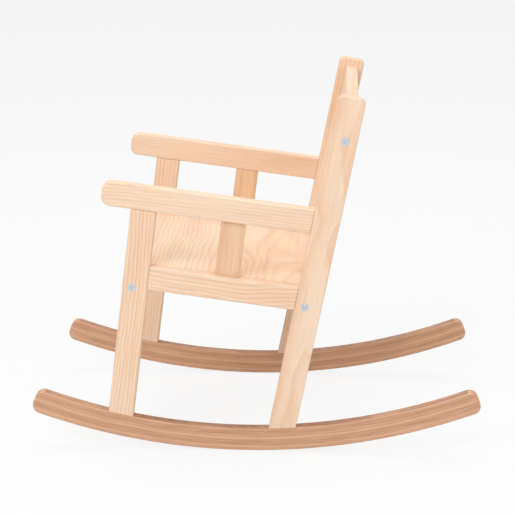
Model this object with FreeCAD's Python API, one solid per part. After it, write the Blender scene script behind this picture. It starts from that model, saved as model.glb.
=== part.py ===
"""A small wooden rocking chair: two laminated rockers carry square side frames, a board seat and a
slatted back.  The front of the chair faces -Y, the sitter's left is +X and +Z is up."""
import FreeCAD, Part
import math
import os

# Driving dimensions, millimetres and degrees.
overall_width = 242.0
stock_thickness = 12.0
rocker_radius = 648.0
rocker_height = 24.5
rocker_front_sweep = 20.2
rocker_rear_sweep = 22.3
rocker_end_radius = 9.0
frame_tilt = 7.3
back_lean = 11.0
leg_depth = 26.0
leg_front_y = -127.7
leg_level_z = 150.0
post_depth = 27.5
post_front_y = 54.5
post_level_z = 176.4
post_top_z = 376.5
post_corner_radius = 6.0
rail_height = 24.5
rail_bottom_y = -22.4
rail_bottom_z = 163.9
arm_height = 25.0
arm_bottom_y = -37.2
arm_bottom_z = 248.7
arm_front_overhang = 31.0
arm_end_radius = 9.0
slat_width = 25.0
slat_thickness = 7.0
slat_front_y = -26.5
slat_level_z = 219.0
seat_thickness = 12.0
seat_board_count = 2
apron_thickness = 12.0
apron_height = 24.0
apron_setback = 4.5
back_rail_height = 60.0
back_rail_drop = 8.5
back_rail_thickness = 12.5
back_setback = 9.0
back_slat_count = 4
back_slat_thickness = 7.0
edge_radius = 1.5
screw_head_diameter = 9.0
screw_head_height = 2.6
screw_shank_diameter = 4.5
screw_length = 45.0
screw_socket_width = 3.6
screw_socket_depth = 1.6
screw_below_back_rail_top = 36.0
rear_screw_below_seat = 7.5
dowel_diameter = 6.0
dowel_reach = 12.0

half_width = overall_width / 2
inner_width = overall_width - 2 * stock_thickness
tilt = math.radians(frame_tilt)
lean = math.radians(back_lean)
os.makedirs("parts", exist_ok=True)


def vector(x, y, z):
    return FreeCAD.Vector(x, y, z)


def front_shift():
    """Distance that brings the middle of the chair's length to the origin."""
    middle_radius = rocker_radius - rocker_height / 2
    rear = middle_radius * math.sin(math.radians(rocker_rear_sweep))
    front = -middle_radius * math.sin(math.radians(rocker_front_sweep))
    return -(rear + front) / 2


shift = front_shift()


def plate(points, left_x, thickness):
    """Solid of a flat outline of (y, z) corners, from left_x towards +X."""
    corners = [vector(left_x, y, z) for y, z in points]
    face = Part.Face(Part.makePolygon(corners + corners[:1]))
    return face.extrude(vector(thickness, 0, 0))


def soften(shape, radius, keep):
    """Round the edges that keep() accepts."""
    edges = [edge for edge in shape.Edges if keep(edge)]
    return shape.makeFillet(radius, edges) if edges else shape


def runs_across(edge):
    """True for a straight edge along X."""
    ends = edge.Vertexes
    if len(ends) != 2:
        return False
    step = ends[1].Point - ends[0].Point
    return abs(step.y) + abs(step.z) < 1e-6


def put(name, solids):
    """Move the solids to the chair's origin and write them as one node."""
    moved = [solid.translated(vector(0, shift, 0)) for solid in solids]
    shape = moved[0] if len(moved) == 1 else Part.makeCompound(moved)
    if not shape.isValid():
        raise ValueError(name + " is not a valid shape")
    shape.exportStep("parts/" + name + ".step")


def line_y(start_y, start_z, angle, z):
    """Y of an upright line at height z; it leans back by angle."""
    return start_y + (z - start_z) * math.tan(angle)


def sloped_z(start_y, start_z, y):
    """Z of a line that drops towards the rear with the frame's tilt."""
    return start_z - (y - start_y) * math.tan(tilt)


def crossing(up_y, up_z, up_angle, flat_y, flat_z):
    """Point where an upright line meets a line of the tilted frame."""
    slope = math.tan(up_angle)
    drop = math.tan(tilt)
    z = (flat_z - (up_y - up_z * slope - flat_y) * drop) / (1 + slope * drop)
    return line_y(up_y, up_z, up_angle, z), z


def upright_width(depth, angle):
    return depth / math.cos(angle)


def rocker_point(radius, angle):
    return radius * math.sin(angle), rocker_radius - radius * math.cos(angle)


def rocker(left_x):
    """Curved runner whose ends have rounded corners."""
    inner = rocker_radius - rocker_height
    front = -math.radians(rocker_front_sweep)
    rear = math.radians(rocker_rear_sweep)

    def arc(radius, start, end):
        places = [rocker_point(radius, angle) for angle in (start, (start + end) / 2, end)]
        return Part.Arc(*[vector(left_x, y, z) for y, z in places]).toShape()

    def end_line(angle):
        low = vector(left_x, *rocker_point(rocker_radius, angle))
        return Part.makeLine(low, vector(left_x, *rocker_point(inner, angle)))

    wire = Part.Wire(Part.__sortEdges__([arc(rocker_radius, front, rear), end_line(rear),
                                         arc(inner, rear, front), end_line(front)]))
    body = Part.Face(wire).extrude(vector(stock_thickness, 0, 0))
    body = soften(body, rocker_end_radius, runs_across)
    return soften(body, edge_radius, lambda edge: not runs_across(edge) and edge.Length > 1)


def rocker_seat(solid):
    """Trim a leg's foot to the rocker's top."""
    reach = rocker_radius - rocker_height
    drum = Part.makeCylinder(reach, overall_width * 2, vector(-overall_width, 0, rocker_radius),
                             vector(1, 0, 0))
    return solid.common(drum)


def long_edges(length):
    return lambda edge: edge.Length > length


def upright(left_x, start_y, start_z, angle, depth, low_z, top_points):
    """Leaning board whose foot sits on the rocker."""
    width = upright_width(depth, angle)
    front_low = line_y(start_y, start_z, angle, low_z)
    outline = [(front_low, low_z), (front_low + width, low_z)] + top_points
    return plate(outline, left_x, stock_thickness)


def front_leg(left_x):
    """Leg from the rocker's top to the armrest's underside."""
    front = crossing(leg_front_y, leg_level_z, tilt, arm_bottom_y, arm_bottom_z)
    rear = crossing(leg_front_y + upright_width(leg_depth, tilt), leg_level_z, tilt,
                    arm_bottom_y, arm_bottom_z)
    body = upright(left_x, leg_front_y, leg_level_z, tilt, leg_depth, 0.0, [rear, front])
    body = soften(body, edge_radius, long_edges(leg_depth * 4))
    return rocker_seat(body)


def back_post(left_x):
    """Leaning post with a rounded top."""
    width = upright_width(post_depth, lean)
    top_front = line_y(post_front_y, post_level_z, lean, post_top_z)
    drop = post_depth * math.sin(lean)
    top = [(top_front + post_depth * math.cos(lean), post_top_z - drop), (top_front, post_top_z)]
    body = upright(left_x, post_front_y, post_level_z, lean, post_depth, 0.0, top)
    tops = [e for e in body.Edges if runs_across(e) and e.Vertexes[0].Z > post_top_z - width]
    body = body.makeFillet(post_corner_radius, tops)
    body = soften(body, edge_radius, long_edges(post_depth * 4))
    return rocker_seat(body)


def tilted_bar(left_x, thickness, start, end, bottom_y, bottom_z, height):
    """Bar of the tilted frame between two upright lines given as (y, z, angle)."""
    top_y = bottom_y + height * math.sin(tilt)
    top_z = bottom_z + height * math.cos(tilt)
    low = [crossing(*line, bottom_y, bottom_z) for line in (start, end)]
    high = [crossing(*line, top_y, top_z) for line in (end, start)]
    return plate(low + high, left_x, thickness)


leg_rear_line = (leg_front_y + upright_width(leg_depth, tilt), leg_level_z, tilt)
post_front_line = (post_front_y, post_level_z, lean)


def armrest(left_x):
    """Armrest that caps the leg and butts against the post."""
    front = leg_front_y - arm_front_overhang
    nose_line = (front, leg_level_z, tilt)
    body = tilted_bar(left_x, stock_thickness, nose_line, post_front_line,
                      arm_bottom_y, arm_bottom_z, arm_height)
    limit = leg_front_y
    nose = [e for e in body.Edges if runs_across(e) and e.Vertexes[0].Y < limit]
    body = body.makeFillet(arm_end_radius, nose)
    return soften(body, edge_radius, long_edges(arm_height * 4))


def side_rail(left_x):
    body = tilted_bar(left_x, stock_thickness, leg_rear_line, post_front_line,
                      rail_bottom_y, rail_bottom_z, rail_height)
    return soften(body, edge_radius, long_edges(rail_height * 4))


rail_top_y = rail_bottom_y + rail_height * math.sin(tilt)
rail_top_z = rail_bottom_z + rail_height * math.cos(tilt)


def arm_slat(left_x):
    """Thin upright between the side rail and the armrest."""
    front = (slat_front_y, slat_level_z, tilt)
    rear = (slat_front_y + upright_width(slat_width, tilt), slat_level_z, tilt)
    points = [crossing(*front, rail_top_y, rail_top_z), crossing(*rear, rail_top_y, rail_top_z),
              crossing(*rear, arm_bottom_y, arm_bottom_z),
              crossing(*front, arm_bottom_y, arm_bottom_z)]
    return soften(plate(points, left_x, slat_thickness), edge_radius, long_edges(slat_width * 1.5))


def below_rail_top(distance):
    """A line of the tilted frame that lies this far under the rails' top."""
    return (rail_top_y - distance * math.sin(tilt), rail_top_z - distance * math.cos(tilt))


board_left = -inner_width / 2
apron_front_y = leg_front_y + apron_setback
rear_apron_y = post_front_y + apron_setback


def apron(front_y, level_z, angle):
    """Cross rail under the seat."""
    start = (front_y, level_z, angle)
    end = (front_y + upright_width(apron_thickness, angle), level_z, angle)
    points = [crossing(*line, *below_rail_top(depth)) for line, depth in
              ((start, seat_thickness + apron_height), (end, seat_thickness + apron_height),
               (end, seat_thickness), (start, seat_thickness))]
    return plate(points, board_left, inner_width)


back_front_line = (post_front_y + upright_width(back_setback, lean), post_level_z, lean)


def seat_boards():
    """Boards side by side between the side rails, resting on both aprons."""
    front = (apron_front_y, leg_level_z, tilt)
    low_front = crossing(*front, *below_rail_top(seat_thickness))
    top_front = crossing(*front, *below_rail_top(0.0))
    low_rear = crossing(*back_front_line, *below_rail_top(seat_thickness))
    top_rear = crossing(*back_front_line, *below_rail_top(0.0))
    boards = []
    for index in range(seat_board_count):
        share = [index / seat_board_count, (index + 1) / seat_board_count]
        low = [(low_front[0] + (low_rear[0] - low_front[0]) * part,
                low_front[1] + (low_rear[1] - low_front[1]) * part) for part in share]
        high = [(top_front[0] + (top_rear[0] - top_front[0]) * part,
                 top_front[1] + (top_rear[1] - top_front[1]) * part) for part in share]
        boards.append(plate(low + high[::-1], board_left, inner_width))
    return boards


def back_box(front_offset, thickness, low, high, left_x, width):
    """Board of the leaning back; low and high are measured down the post from its top."""
    top_y = line_y(post_front_y, post_level_z, lean, post_top_z)

    def place(out, down):
        return (top_y + out * math.cos(lean) - down * math.sin(lean),
                post_top_z - out * math.sin(lean) - down * math.cos(lean))

    points = [place(front_offset, low), place(front_offset + thickness, low),
              place(front_offset + thickness, high), place(front_offset, high)]
    return plate(points, left_x, width)


def back_rail():
    body = back_box(back_setback, back_rail_thickness, back_rail_drop + back_rail_height,
                    back_rail_drop, board_left, inner_width)
    return soften(body, edge_radius, long_edges(inner_width * 0.9))


def back_slats():
    """Upright slats from the seat's rear apron to the top rail."""
    inset = back_setback + (back_rail_thickness - back_slat_thickness) / 2
    rear_y = post_front_y + upright_width(inset + back_slat_thickness, lean)
    foot = crossing(rear_y, post_level_z, lean, *below_rail_top(seat_thickness))
    outward = (inset + back_slat_thickness) * math.sin(lean)
    reach = (post_top_z - outward - foot[1]) / math.cos(lean)
    gap = (inner_width - back_slat_count * slat_width) / (back_slat_count + 1)
    slats = []
    for index in range(back_slat_count):
        left_x = board_left + gap + index * (slat_width + gap)
        body = back_box(inset, back_slat_thickness, reach, back_rail_drop + back_rail_height,
                        left_x, slat_width)
        slats.append(soften(body, edge_radius, long_edges(slat_width * 1.5)))
    return slats


def screw(side, y, z):
    """Wood screw driven inwards from an outer face, with a hexagonal socket."""
    inward = vector(-side, 0, 0)
    outer = vector(side * half_width, y, z)
    head = Part.makeCone(screw_head_diameter / 2, screw_shank_diameter / 2, screw_head_height,
                         outer, inward)
    shank = Part.makeCylinder(screw_shank_diameter / 2, screw_length, outer, inward)
    radius = screw_socket_width / math.sqrt(3)
    corners = [outer + vector(0, radius * math.cos(math.radians(60 * k)),
                              radius * math.sin(math.radians(60 * k))) for k in range(7)]
    socket = Part.Face(Part.makePolygon(corners)).extrude(inward * screw_socket_depth)
    return head.fuse(shank).cut(socket)


def screw_hole(side, y, z):
    """Hole that a screw fills."""
    inward = vector(-side, 0, 0)
    outer = vector(side * half_width, y, z)
    head = Part.makeCone(screw_head_diameter / 2, screw_shank_diameter / 2, screw_head_height,
                         outer, inward)
    return head.fuse(Part.makeCylinder(screw_shank_diameter / 2, screw_length, outer, inward))


def dowel(centre, direction, length):
    """Round peg centred on a joint."""
    start = centre - direction * (length / 2)
    return Part.makeCylinder(dowel_diameter / 2, length, start, direction)


front_low = crossing(apron_front_y + upright_width(apron_thickness, tilt) / 2, leg_level_z, tilt,
                     *below_rail_top(seat_thickness + apron_height / 2))
rear_low = crossing(rear_apron_y + upright_width(apron_thickness, lean) / 2, post_level_z, lean,
                    *below_rail_top(seat_thickness + rear_screw_below_seat))
back_middle = back_setback + back_rail_thickness / 2
post_top_y = line_y(post_front_y, post_level_z, lean, post_top_z)
upper_drop = back_rail_drop + screw_below_back_rail_top
upper = (post_top_y + back_middle * math.cos(lean) - upper_drop * math.sin(lean),
         post_top_z - back_middle * math.sin(lean) - upper_drop * math.cos(lean))
screw_places = {"front_seat_screws": front_low, "rear_seat_screws": rear_low,
                "back_rail_screws": upper}

up_leg = vector(0, math.sin(tilt), math.cos(tilt))
up_post = vector(0, math.sin(lean), math.cos(lean))
along_rail = vector(0, math.cos(tilt), -math.sin(tilt))


def rocker_joint(start_y, start_z, angle, depth):
    """Middle of a foot on the rocker's top."""
    middle_y = start_y + upright_width(depth, angle) / 2
    z = rocker_height
    for _ in range(20):
        y = line_y(middle_y, start_z, angle, z)
        z = rocker_radius - math.sqrt((rocker_radius - rocker_height) ** 2 - y ** 2)
    return y, z


leg_foot = rocker_joint(leg_front_y, leg_level_z, tilt, leg_depth)
post_foot = rocker_joint(post_front_y, post_level_z, lean, post_depth)
leg_head = crossing(leg_front_y + upright_width(leg_depth, tilt) / 2, leg_level_z, tilt,
                    arm_bottom_y, arm_bottom_z)
rail_middle = below_rail_top(rail_height / 2)
arm_middle = (arm_bottom_y + arm_height / 2 * math.sin(tilt),
              arm_bottom_z + arm_height / 2 * math.cos(tilt))
rail_front = crossing(*leg_rear_line, *rail_middle)
rail_rear = crossing(*post_front_line, *rail_middle)
arm_rear = crossing(*post_front_line, *arm_middle)
joints = {"front_leg_dowels": (leg_foot, up_leg), "back_post_dowels": (post_foot, up_post),
          "arm_leg_dowels": (leg_head, up_leg), "rail_front_dowels": (rail_front, along_rail),
          "rail_rear_dowels": (rail_rear, along_rail), "arm_rear_dowels": (arm_rear, along_rail)}
sides = {"left": 1, "right": -1}
dowels = {name: {side: dowel(vector(sign * (half_width - stock_thickness / 2), *place), way,
                             2 * dowel_reach) for side, sign in sides.items()}
          for name, (place, way) in joints.items()}
holes = {side: [screw_hole(sign, y, z) for y, z in screw_places.values()]
         for side, sign in sides.items()}


def drilled(solid, side):
    """Cut the dowel and screw holes of one side out of a wooden piece."""
    for tool in [pair[side] for pair in dowels.values()] + holes[side]:
        solid = solid.cut(tool)
    return solid.Solids[0]


makers = {"rocker": rocker, "front_leg": front_leg, "back_post": back_post, "armrest": armrest,
          "side_rail": side_rail, "arm_slat": arm_slat}
for side, sign in sides.items():
    left_x = half_width - stock_thickness if sign > 0 else -half_width
    slat_left = left_x if sign > 0 else -half_width + stock_thickness - slat_thickness
    for name, maker in makers.items():
        start_x = slat_left if name == "arm_slat" else left_x
        put(name + "_" + side, [drilled(maker(start_x), side)])

for name, solid in (("front_apron", apron(apron_front_y, leg_level_z, tilt)),
                    ("rear_apron", apron(rear_apron_y, post_level_z, lean)),
                    ("back_rail", back_rail())):
    put(name, [drilled(drilled(solid, "left"), "right")])
for index, board in enumerate(seat_boards()):
    put("seat_board_" + str(index + 1), [board])
for index, slat in enumerate(back_slats()):
    put("back_slat_" + str(index + 1), [slat])
for name, (y, z) in screw_places.items():
    put(name, [screw(sign, y, z) for sign in sides.values()])
for name, pair in dowels.items():
    put(name, list(pair.values()))
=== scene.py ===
"""Dresses the small wooden rocking chair: pine frame, laminated rockers and zinc screws."""
import logging
import math
from dataclasses import dataclass, field
from enum import Enum

import bpy
from mathutils import Matrix, Vector

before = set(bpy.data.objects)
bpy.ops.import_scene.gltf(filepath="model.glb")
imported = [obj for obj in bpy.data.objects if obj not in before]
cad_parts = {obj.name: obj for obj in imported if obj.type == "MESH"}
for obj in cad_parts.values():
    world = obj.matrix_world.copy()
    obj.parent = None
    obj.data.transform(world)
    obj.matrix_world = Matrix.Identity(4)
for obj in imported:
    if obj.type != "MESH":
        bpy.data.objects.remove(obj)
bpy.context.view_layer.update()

Colour = tuple[float, float, float]
Tone = tuple[float, float, float, float]
TILT = math.radians(7.3)
LEAN = math.radians(11.0)
RELIEF_DEPTH = 0.0004
BOARD_STEP = 0.37
LOG = logging.getLogger("rocking_chair")


class Grain(Enum):
    """Way that a piece's grain runs."""

    UPRIGHT = "upright"
    LEANING = "leaning"
    LEVEL = "level"
    ACROSS = "across"


GRAIN_TURN: dict[Grain, tuple[float, float, float]] = {
    Grain.UPRIGHT: (-(math.pi / 2 - TILT), 0.0, 0.0),
    Grain.LEANING: (-(math.pi / 2 - LEAN), 0.0, 0.0),
    Grain.LEVEL: (TILT, 0.0, 0.0),
    Grain.ACROSS: (TILT, 0.0, math.pi / 2),
}


class Graph:
    """Short hand for building a shader node tree."""

    def __init__(self, tree: bpy.types.NodeTree) -> None:
        """Keep the tree that nodes are added to."""
        self.tree = tree

    def add(self, kind: str, **values: object) -> bpy.types.Node:
        """Add a node and set its properties.

        Args:
            kind: Blender's name of the node type.
            values: Properties of the node by name.

        Returns:
            The new node.
        """
        node = self.tree.nodes.new(kind)
        for name, value in values.items():
            setattr(node, name, value)
        return node

    def link(self, source: bpy.types.NodeSocket, target: bpy.types.NodeSocket) -> None:
        """Join two sockets."""
        self.tree.links.new(source, target)

    def math(self, operation: str, first: object, second: object = 0.0,
             third: object = 0.0) -> bpy.types.NodeSocket:
        """Add a maths node.

        Args:
            operation: Blender's name of the operation.
            first: Socket or number.
            second: Socket or number.
            third: Socket or number.

        Returns:
            The result's socket.
        """
        node = self.add("ShaderNodeMath", operation=operation)
        for slot, value in zip(node.inputs, (first, second, third)):
            if isinstance(value, bpy.types.NodeSocket):
                self.link(value, slot)
            else:
                slot.default_value = value
        return node.outputs[0]

    def noise(self, vector: bpy.types.NodeSocket, stretch: Colour,
              detail: float = 3.0) -> bpy.types.NodeSocket:
        """Noise whose scale differs by axis.

        Args:
            vector: Coordinates to read.
            stretch: Scale along each axis.
            detail: Octaves of the noise.

        Returns:
            The noise value's socket.
        """
        scaled = self.add("ShaderNodeVectorMath", operation="MULTIPLY")
        scaled.inputs[1].default_value = stretch
        self.link(vector, scaled.inputs[0])
        node = self.add("ShaderNodeTexNoise")
        node.inputs["Scale"].default_value = 1.0
        node.inputs["Detail"].default_value = detail
        self.link(scaled.outputs[0], node.inputs["Vector"])
        return node.outputs["Fac"]

    def mix(self, factor: object, first: object, second: object,
            blend: str = "MIX") -> bpy.types.NodeSocket:
        """Mix two colours.

        Args:
            factor: Socket or number.
            first: Socket or colour.
            second: Socket or colour.
            blend: Blender's name of the blend.

        Returns:
            The mixed colour's socket.
        """
        node = self.add("ShaderNodeMix", data_type="RGBA", blend_type=blend)
        for slot, value in zip((node.inputs[0], node.inputs[6], node.inputs[7]),
                               (factor, first, second)):
            if isinstance(value, bpy.types.NodeSocket):
                self.link(value, slot)
            else:
                slot.default_value = (*value, 1.0) if isinstance(value, tuple) else value
        return node.outputs[2]

    def ramp(self, value: bpy.types.NodeSocket,
             stops: list[tuple[float, float]]) -> bpy.types.NodeSocket:
        """Map a value through grey stops.

        Args:
            value: Socket to read.
            stops: Pairs of position and grey level.

        Returns:
            The ramp's colour socket.
        """
        node = self.add("ShaderNodeValToRGB")
        while len(node.color_ramp.elements) < len(stops):
            node.color_ramp.elements.new(0.5)
        for element, (place, grey) in zip(node.color_ramp.elements, stops):
            element.position = place
            element.color = (grey, grey, grey, 1.0)
        self.link(value, node.inputs[0])
        return node.outputs[0]


def open_group(name: str, inputs: list[tuple[str, str, object]],
               outputs: list[tuple[str, str]]) -> tuple[Graph, bpy.types.Node, bpy.types.Node]:
    """Start a shader node group.

    Args:
        name: Name of the group.
        inputs: Name, socket type and default of each input.
        outputs: Name and socket type of each output.

    Returns:
        The graph, its input node and its output node.
    """
    tree = bpy.data.node_groups.new(name, "ShaderNodeTree")
    for label, kind, value in inputs:
        socket = tree.interface.new_socket(label, in_out="INPUT", socket_type=kind)
        if value is not None:
            socket.default_value = value
    for label, kind in outputs:
        tree.interface.new_socket(label, in_out="OUTPUT", socket_type=kind)
    graph = Graph(tree)
    return graph, graph.add("NodeGroupInput"), graph.add("NodeGroupOutput")


def timber_group() -> bpy.types.NodeTree:
    """Growth rings, fibres and slow colour drift of a sawn board; the grain runs along Y."""
    graph, given, out = open_group(
        "sawn timber",
        [("Vector", "NodeSocketVector", None), ("Ring Width", "NodeSocketFloat", 0.003),
         ("Pith X", "NodeSocketFloat", 0.03), ("Pith Z", "NodeSocketFloat", 0.02),
         ("Early", "NodeSocketColor", (0.94, 0.70, 0.51, 1.0)),
         ("Late", "NodeSocketColor", (0.83, 0.48, 0.28, 1.0)),
         ("Contrast", "NodeSocketFloat", 0.7)],
        [("Color", "NodeSocketColor"), ("Height", "NodeSocketFloat"),
         ("Roughness", "NodeSocketFloat")])
    vector = given.outputs["Vector"]
    parts = graph.add("ShaderNodeSeparateXYZ")
    graph.link(vector, parts.inputs[0])
    wander = graph.math("MULTIPLY_ADD", graph.noise(vector, (14.0, 5.0, 14.0), 2.0), 0.016, -0.008)
    ripple = graph.math("MULTIPLY_ADD", graph.noise(vector, (90.0, 18.0, 90.0), 2.0), 0.0016, -0.0008)
    side = graph.math("ADD", graph.math("ADD", parts.outputs[0], given.outputs["Pith X"]), wander)
    rise = graph.math("ADD", graph.math("ADD", parts.outputs[2], given.outputs["Pith Z"]), wander)
    squares = graph.math("ADD", graph.math("MULTIPLY", side, side), graph.math("MULTIPLY", rise, rise))
    radius = graph.math("ADD", graph.math("SQRT", squares), ripple)
    phase = graph.math("FRACT", graph.math("DIVIDE", radius, given.outputs["Ring Width"]))
    rings = graph.ramp(phase, [(0.0, 0.0), (0.45, 0.12), (0.78, 0.75), (0.9, 1.0), (1.0, 0.0)])
    fibres = graph.noise(vector, (1500.0, 45.0, 1500.0), 3.0)
    streaks = graph.noise(vector, (260.0, 9.0, 260.0), 2.0)
    drift = graph.noise(vector, (28.0, 6.0, 28.0), 2.0)
    strength = graph.math("MULTIPLY", rings, given.outputs["Contrast"])
    tone = graph.math("ADD", strength, graph.math("MULTIPLY_ADD", drift, 1.1, -0.5))
    tone = graph.math("ADD", tone, graph.math("MULTIPLY_ADD", streaks, 0.7, -0.32))
    factor = graph.add("ShaderNodeClamp")
    graph.link(tone, factor.inputs[0])
    base = graph.mix(factor.outputs[0], given.outputs["Early"], given.outputs["Late"])
    grey = graph.ramp(fibres, [(0.3, 0.86), (0.7, 1.0)])
    graph.link(graph.mix(0.8, base, grey, "MULTIPLY"), out.inputs["Color"])
    height = graph.math("MULTIPLY_ADD", rings, 0.5, graph.math("MULTIPLY", fibres, 0.6))
    graph.link(height, out.inputs["Height"])
    graph.link(graph.math("MULTIPLY_ADD", fibres, 0.2, 0.5), out.inputs["Roughness"])
    return graph.tree


def ply_group() -> bpy.types.NodeTree:
    """Glued plies that follow the rockers' curve about an axis along X."""
    graph, given, out = open_group(
        "bent plies",
        [("Vector", "NodeSocketVector", None), ("Outer Radius", "NodeSocketFloat", 0.648),
         ("Ply", "NodeSocketFloat", 0.003), ("Face", "NodeSocketColor", (0.72, 0.42, 0.26, 1.0)),
         ("Deep", "NodeSocketColor", (0.50, 0.25, 0.135, 1.0)),
         ("Glue", "NodeSocketColor", (0.27, 0.12, 0.06, 1.0))],
        [("Color", "NodeSocketColor"), ("Height", "NodeSocketFloat"),
         ("Roughness", "NodeSocketFloat")])
    parts = graph.add("ShaderNodeSeparateXYZ")
    graph.link(given.outputs["Vector"], parts.inputs[0])
    squares = graph.math("ADD", graph.math("MULTIPLY", parts.outputs[1], parts.outputs[1]),
                         graph.math("MULTIPLY", parts.outputs[2], parts.outputs[2]))
    radius = graph.math("SQRT", squares)
    depth = graph.math("DIVIDE", graph.math("SUBTRACT", given.outputs["Outer Radius"], radius),
                       given.outputs["Ply"])
    angle = graph.math("ARCTAN2", parts.outputs[1], graph.math("MULTIPLY", parts.outputs[2], -1.0))
    unrolled = graph.add("ShaderNodeCombineXYZ")
    graph.link(parts.outputs[0], unrolled.inputs[0])
    graph.link(graph.math("MULTIPLY", angle, given.outputs["Outer Radius"]), unrolled.inputs[1])
    graph.link(radius, unrolled.inputs[2])
    layer = graph.math("FLOOR", depth)
    shade = graph.add("ShaderNodeTexWhiteNoise", noise_dimensions="1D")
    graph.link(layer, shade.inputs["W"])
    within = graph.math("FRACT", depth)
    seam = graph.ramp(within, [(0.0, 1.0), (0.07, 0.0), (0.93, 0.0), (1.0, 1.0)])
    breaks = graph.ramp(graph.noise(unrolled.outputs[0], (60.0, 22.0, 700.0), 2.0),
                        [(0.32, 0.25), (0.55, 1.0)])
    streaks = graph.noise(unrolled.outputs[0], (700.0, 28.0, 1600.0), 3.0)
    tone = graph.math("ADD", graph.math("MULTIPLY_ADD", shade.outputs["Value"], 0.6, -0.2),
                      graph.math("MULTIPLY_ADD", streaks, 2.4, -0.9))
    factor = graph.add("ShaderNodeClamp")
    graph.link(tone, factor.inputs[0])
    base = graph.mix(factor.outputs[0], given.outputs["Face"], given.outputs["Deep"])
    line = graph.math("MULTIPLY", graph.math("MULTIPLY", seam, breaks), 0.7)
    graph.link(graph.mix(line, base, given.outputs["Glue"]), out.inputs["Color"])
    height = graph.math("SUBTRACT", graph.math("MULTIPLY", streaks, 0.6), line)
    graph.link(height, out.inputs["Height"])
    graph.link(graph.math("MULTIPLY_ADD", streaks, 0.2, 0.42), out.inputs["Roughness"])
    return graph.tree


@dataclass(frozen=True)
class Finish:
    """A finish whose pattern comes from a node group read on Object coordinates."""

    name: str
    group: bpy.types.NodeTree
    values: dict[str, object] = field(default_factory=dict)
    turn: Colour = (0.0, 0.0, 0.0)
    move: Colour = (0.0, 0.0, 0.0)
    bump: float = 0.25
    metallic: float = 0.0

    def build(self) -> bpy.types.Material:
        """Make the material.

        Returns:
            The finished material.
        """
        material = bpy.data.materials.new(self.name)
        material.use_nodes = True
        graph = Graph(material.node_tree)
        shader = material.node_tree.nodes["Principled BSDF"]
        shader.inputs["Metallic"].default_value = self.metallic
        place = graph.add("ShaderNodeTexCoord")
        mapping = graph.add("ShaderNodeMapping")
        mapping.inputs["Rotation"].default_value = self.turn
        mapping.inputs["Location"].default_value = self.move
        graph.link(place.outputs["Object"], mapping.inputs["Vector"])
        pattern = graph.add("ShaderNodeGroup", node_tree=self.group)
        for label, value in self.values.items():
            pattern.inputs[label].default_value = value
        graph.link(mapping.outputs[0], pattern.inputs["Vector"])
        graph.link(pattern.outputs["Color"], shader.inputs["Base Color"])
        graph.link(pattern.outputs["Roughness"], shader.inputs["Roughness"])
        relief = graph.add("ShaderNodeBump")
        relief.inputs["Strength"].default_value = self.bump
        relief.inputs["Distance"].default_value = RELIEF_DEPTH
        graph.link(pattern.outputs["Height"], relief.inputs["Height"])
        graph.link(relief.outputs[0], shader.inputs["Normal"])
        return material


def zinc_group() -> bpy.types.NodeTree:
    """Bright zinc plating with faint blooms and fine scratches."""
    graph, given, out = open_group(
        "zinc plating", [("Vector", "NodeSocketVector", None)],
        [("Color", "NodeSocketColor"), ("Height", "NodeSocketFloat"),
         ("Roughness", "NodeSocketFloat")])
    bloom = graph.noise(given.outputs["Vector"], (420.0, 420.0, 420.0), 3.0)
    scratch = graph.noise(given.outputs["Vector"], (900.0, 5200.0, 900.0), 2.0)
    graph.link(graph.mix(bloom, (0.50, 0.53, 0.56), (0.74, 0.76, 0.78)), out.inputs["Color"])
    graph.link(scratch, out.inputs["Height"])
    graph.link(graph.math("MULTIPLY_ADD", bloom, 0.3, 0.2), out.inputs["Roughness"])
    return graph.tree


def dress(node: str, material: bpy.types.Material) -> None:
    """Give a frame piece its finish.

    Args:
        node: Name of the piece.
        material: Finish to show.
    """
    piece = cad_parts[node]
    for slot in piece.material_slots:
        slot.link = "OBJECT"
        slot.material = material
    LOG.info("%s wears %s", node, material.name)


@dataclass
class Woodwork:
    """Straight pine pieces, each cut from its own part of a board."""

    group: bpy.types.NodeTree
    grains: dict[str, Grain]
    ring_width: float = 0.0032
    pith: Colour = (0.034, 0.0, 0.021)
    warm: tuple[str, ...] = ()
    pale_tones: tuple[Tone, Tone] = ((0.93, 0.705, 0.52, 1.0), (0.82, 0.49, 0.295, 1.0))
    warm_tones: tuple[Tone, Tone] = ((0.86, 0.59, 0.38, 1.0), (0.74, 0.40, 0.22, 1.0))

    def dress_all(self) -> None:
        """Dress every piece with a grain of its own."""
        for index, (node, grain) in enumerate(self.grains.items()):
            step = float(index)
            early, late = self.warm_tones if node in self.warm else self.pale_tones
            spread = 0.007 * math.sin(2.1 * step)
            values = {"Ring Width": self.ring_width * (1 + 0.22 * math.sin(1.7 * step)),
                      "Pith X": self.pith[0] + spread, "Pith Z": self.pith[2] + 0.06 * math.cos(step),
                      "Early": early, "Late": late, "Contrast": 0.55 + 0.15 * math.cos(2.3 * step)}
            finish = Finish("pine_" + node, self.group, values, GRAIN_TURN[grain],
                            (0.0, BOARD_STEP * step, 0.0), 0.22)
            dress(node, finish.build())


@dataclass
class Rockers:
    """The two bent rockers."""

    group: bpy.types.NodeTree
    nodes: tuple[str, str] = ("rocker_left", "rocker_right")
    radius: float = 0.648
    height: float = 0.0245
    plies: int = 8
    front_sweep: float = math.radians(20.2)
    rear_sweep: float = math.radians(22.3)

    def dress_all(self) -> None:
        """Dress both rockers with plies that follow their curve."""
        middle_radius = self.radius - self.height / 2
        contact = -middle_radius * (math.sin(self.rear_sweep) - math.sin(self.front_sweep)) / 2
        values = {"Outer Radius": self.radius, "Ply": self.height / self.plies}
        for node in self.nodes:
            finish = Finish("plies_" + node, self.group, values, (0.0, 0.0, 0.0),
                            (0.0, -contact, -self.radius), 0.3)
            dress(node, finish.build())


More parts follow.
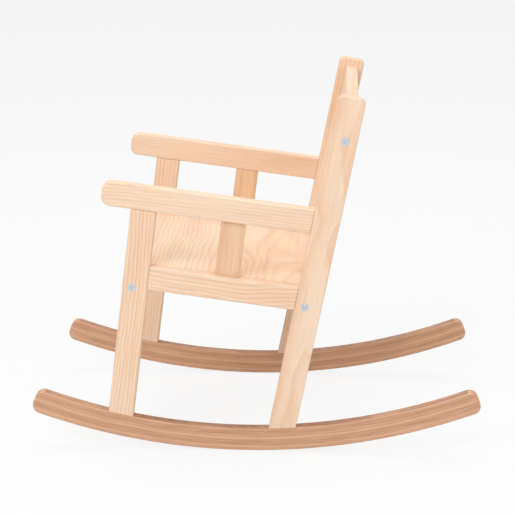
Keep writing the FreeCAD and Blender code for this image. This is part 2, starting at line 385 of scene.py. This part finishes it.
@dataclass
class Fasteners:
    """Zinc screws and the hidden hardwood pegs."""

    zinc: bpy.types.NodeTree
    timber: bpy.types.NodeTree
    screws: tuple[str, ...] = ("front_seat_screws", "rear_seat_screws", "back_rail_screws")

    def dress_all(self, pegs: list[str]) -> None:
        """Dress the screws and pegs.

        Args:
            pegs: Names of the peg nodes.
        """
        metal = Finish("bright_zinc", self.zinc, {}, bump=0.08, metallic=1.0).build()
        for node in self.screws:
            dress(node, metal)
        wood = Finish("hardwood_peg", self.timber,
                      {"Early": (0.62, 0.42, 0.25, 1.0), "Late": (0.48, 0.30, 0.16, 1.0)}).build()
        for node in pegs:
            dress(node, wood)


@dataclass
class Studio:
    """Pale floor, soft lamps and the camera."""

    eye: Colour = (1.6749, 0.0869, 0.6710)
    azimuth: float = math.radians(-3.1)
    elevation: float = math.radians(16.5)
    focal_share: float = 1613.5 / 515.0
    sensor: float = 36.0

    def camera(self) -> None:
        """Place the camera."""
        data = bpy.data.cameras.new("camera")
        data.sensor_width = self.sensor
        data.lens = self.sensor * self.focal_share
        data.clip_end = 50.0
        camera = bpy.data.objects.new("camera", data)
        bpy.context.scene.collection.objects.link(camera)
        forward = Vector((-math.cos(self.elevation) * math.cos(self.azimuth),
                          math.cos(self.elevation) * math.sin(self.azimuth),
                          -math.sin(self.elevation)))
        right = forward.cross(Vector((0.0, 0.0, 1.0))).normalized()
        up = right.cross(forward)
        turn = Matrix((right, up, -forward)).transposed().to_4x4()
        camera.matrix_world = Matrix.Translation(self.eye) @ turn
        bpy.context.scene.camera = camera

    def lamp(self, name: str, place: Colour, power: float, size: float) -> None:
        """Add a square lamp that faces the chair.

        Args:
            name: Name of the lamp.
            place: Where it stands.
            power: Watts.
            size: Length of its side.
        """
        data = bpy.data.lights.new(name, "AREA")
        data.energy = power
        data.size = size
        lamp = bpy.data.objects.new(name, data)
        bpy.context.scene.collection.objects.link(lamp)
        lamp.location = place
        aim = Vector((0.0, 0.0, 0.18)) - Vector(place)
        lamp.rotation_euler = aim.to_track_quat("-Z", "Y").to_euler()

    def world(self) -> None:
        """White surroundings for the camera and for gloss, softer light for the chair."""
        world = bpy.data.worlds.new("studio")
        bpy.context.scene.world = world
        world.use_nodes = True
        graph = Graph(world.node_tree)
        background = world.node_tree.nodes["Background"]
        background.inputs["Color"].default_value = (1.0, 1.0, 1.0, 1.0)
        path = graph.add("ShaderNodeLightPath")
        seen = graph.math("MAXIMUM", path.outputs["Is Camera Ray"], path.outputs["Is Glossy Ray"])
        seen = graph.math("MAXIMUM", seen, path.outputs["Is Transmission Ray"])
        graph.link(graph.math("MULTIPLY_ADD", seen, 0.5, 0.5), background.inputs["Strength"])

    def floor(self) -> None:
        """White floor that keeps a faint shadow."""
        bpy.ops.mesh.primitive_plane_add(size=24.0, location=(0.0, 0.0, -0.0006))
        floor = bpy.context.object
        floor.name = "studio_floor"
        material = bpy.data.materials.new("studio_floor")
        material.use_nodes = True
        graph = Graph(material.node_tree)
        material.node_tree.nodes.remove(material.node_tree.nodes["Principled BSDF"])
        matt = graph.add("ShaderNodeBsdfDiffuse")
        matt.inputs["Color"].default_value = (0.8, 0.8, 0.8, 1.0)
        glow = graph.add("ShaderNodeEmission")
        path = graph.add("ShaderNodeLightPath")
        seen = graph.math("MAXIMUM", path.outputs["Is Camera Ray"], path.outputs["Is Glossy Ray"])
        blend = graph.add("ShaderNodeMixShader")
        graph.link(graph.math("MULTIPLY", seen, 0.85), blend.inputs[0])
        graph.link(matt.outputs[0], blend.inputs[1])
        graph.link(glow.outputs[0], blend.inputs[2])
        output = material.node_tree.nodes["Material Output"]
        graph.link(blend.outputs[0], output.inputs["Surface"])
        floor.data.materials.append(material)

    def build(self) -> None:
        """Set up the studio."""
        bpy.context.scene.view_settings.view_transform = "Standard"
        self.camera()
        self.world()
        self.floor()
        self.lamp("key", (1.7, -1.0, 1.7), 26.0, 1.3)
        self.lamp("fill", (1.2, 1.6, 0.9), 9.0, 1.4)
        self.lamp("top", (-0.3, 0.0, 1.9), 13.0, 1.2)


def grain_plan() -> dict[str, Grain]:
    """Work out which way each straight piece's grain runs.

    Returns:
        Grain direction by node name.
    """
    plan: dict[str, Grain] = {}
    for side in ("left", "right"):
        plan["front_leg_" + side] = Grain.UPRIGHT
        plan["back_post_" + side] = Grain.LEANING
        plan["armrest_" + side] = Grain.LEVEL
        plan["side_rail_" + side] = Grain.LEVEL
        plan["arm_slat_" + side] = Grain.UPRIGHT
    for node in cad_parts:
        if node.startswith("back_slat"):
            plan[node] = Grain.LEANING
        if node.startswith("seat_board") or node in ("front_apron", "rear_apron", "back_rail"):
            plan[node] = Grain.ACROSS
    return plan


def main() -> None:
    """Dress the chair and light it."""
    logging.basicConfig(level=logging.INFO, format="%(message)s")
    bpy.ops.object.select_all(action="DESELECT")
    Studio().build()
    timber = timber_group()
    Woodwork(timber, grain_plan(), warm=("arm_slat_left", "arm_slat_right")).dress_all()
    Rockers(ply_group()).dress_all()
    pegs = [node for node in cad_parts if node.endswith("_dowels")]
    Fasteners(zinc_group(), timber).dress_all(pegs)


if __name__ == "__main__":
    main()
